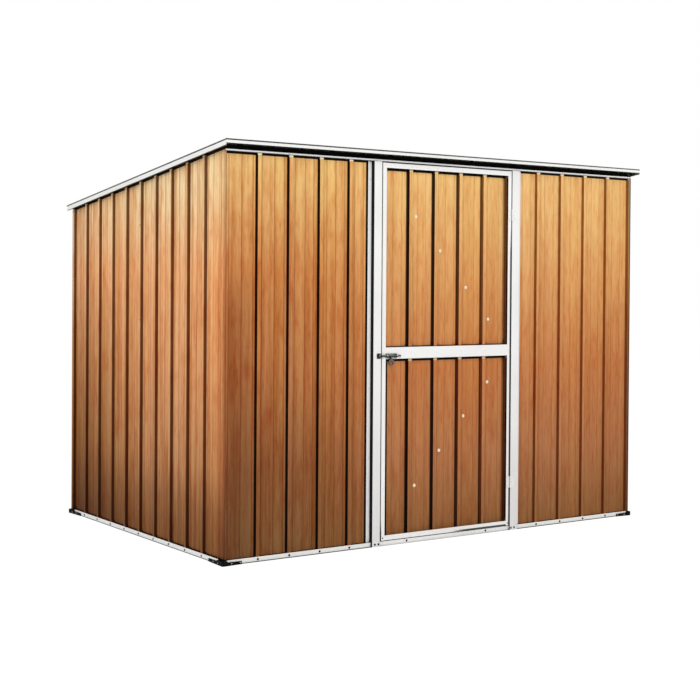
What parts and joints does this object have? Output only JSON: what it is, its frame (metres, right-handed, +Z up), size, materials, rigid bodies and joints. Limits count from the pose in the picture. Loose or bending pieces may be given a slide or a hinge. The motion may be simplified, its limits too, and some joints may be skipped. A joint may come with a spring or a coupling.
{
  "type": "garden shed",
  "caption": "Skillion garden shed in wood-print ribbed sheet steel with white folded trims and one outward-opening hinged door with a barrel bolt.",
  "frame": {"origin": "centre of the shed's plan, on the ground", "axes": "+Z up, +X along the front wall to the right, +Y from the front wall to the rear wall"},
  "size_m": [2.709, 1.8886, 2.0028],
  "materials": {
    "timber_print": "wood-grain print, satin",
    "frame_paint": "white powder coat, satin",
    "roof_paint": "white coated sheet, satin",
    "hinge_paint": "white paint, satin",
    "cap_plastic": "black moulded plastic, matt",
    "closure_foam": "black closure foam, matt",
    "zinc": "zinc plated, satin"
  },
  "bodies": {
    "shed": {"base_channel_front_left": "frame_paint", "base_channel_front_right": "frame_paint", "base_channel_left": "frame_paint", "base_channel_right": "frame_paint", "base_channel_rear": "frame_paint", "door_threshold": "frame_paint", "corner_caps_front": "cap_plastic", "corner_caps_rear": "cap_plastic", "front_left_sheet": "timber_print", "front_right_sheet": "timber_print", "left_front_sheet": "timber_print", "left_rear_sheet": "timber_print", "right_front_sheet": "timber_print", "right_rear_sheet": "timber_print", "rear_left_sheet": "timber_print", "rear_middle_sheet": "timber_print", "rear_right_sheet": "timber_print", "door_post_left": "frame_paint", "door_post_right": "frame_paint", "top_channel_front": "frame_paint", "top_channel_rear": "frame_paint", "top_channel_left": "frame_paint", "top_channel_right": "frame_paint", "closure_front": "closure_foam", "closure_rear": "closure_foam", "roof_sheet_left": "roof_paint", "roof_sheet_middle": "roof_paint", "roof_sheet_right": "roof_paint", "roof_purlin": "roof_paint", "roof_trim_front": "frame_paint", "roof_trim_rear": "frame_paint", "roof_trim_left": "frame_paint", "roof_trim_right": "frame_paint", "hinge_post_leaves": "hinge_paint", "bolt_keeper": "zinc"},
    "door": {"door_sheet": "timber_print", "door_stile_left": "frame_paint", "door_stile_right": "frame_paint", "door_top_rail": "frame_paint", "door_mid_rail": "frame_paint", "door_bottom_rail": "frame_paint", "door_braces": "frame_paint", "hinge_door_leaves": "hinge_paint", "bolt_plate": "zinc"},
    "bolt": {"bolt_bar": "zinc"}
  },
  "joints": [
    {"name": "door_hinge", "type": "hinge", "parent": "shed", "child": "door", "pos_m": [0.422, -0.908, 0.9], "axis": [0, 0, 1], "range_deg": [0, 160]},
    {"name": "bolt_slide", "type": "slide", "parent": "door", "child": "bolt", "axis": [-1, 0, 0], "range_m": [0, 0.018]}
  ]
}
